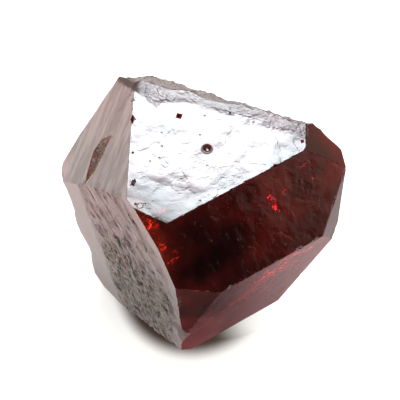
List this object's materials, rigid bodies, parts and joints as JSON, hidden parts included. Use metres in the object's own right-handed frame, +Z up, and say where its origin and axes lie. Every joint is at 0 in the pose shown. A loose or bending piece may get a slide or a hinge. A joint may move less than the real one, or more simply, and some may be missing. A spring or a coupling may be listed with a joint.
{
  "type": "zircon crystal",
  "caption": "Loose stubby zircon prism with flat upper faces, a small pyramid facet at one end and a rough streaky break square to its long axis at the other.",
  "frame": {"origin": "middle of the bounding box in X and Y, at the height of the flat face it rests on", "axes": "+X along the crystal's four-fold axis from the broken end to the pointed end, +Z up out of the large flat upper face, -Y out of the narrow front prism face"},
  "size_m": [0.0162, 0.018, 0.0214],
  "materials": {
    "zircon": "adamantine, see-through deep brown-red with small inner cracks, mirror-flat on the crystal faces and dull on the breaks"
  },
  "bodies": {
    "root": {"zircon_crystal": "zircon"}
  },
  "joints": []
}
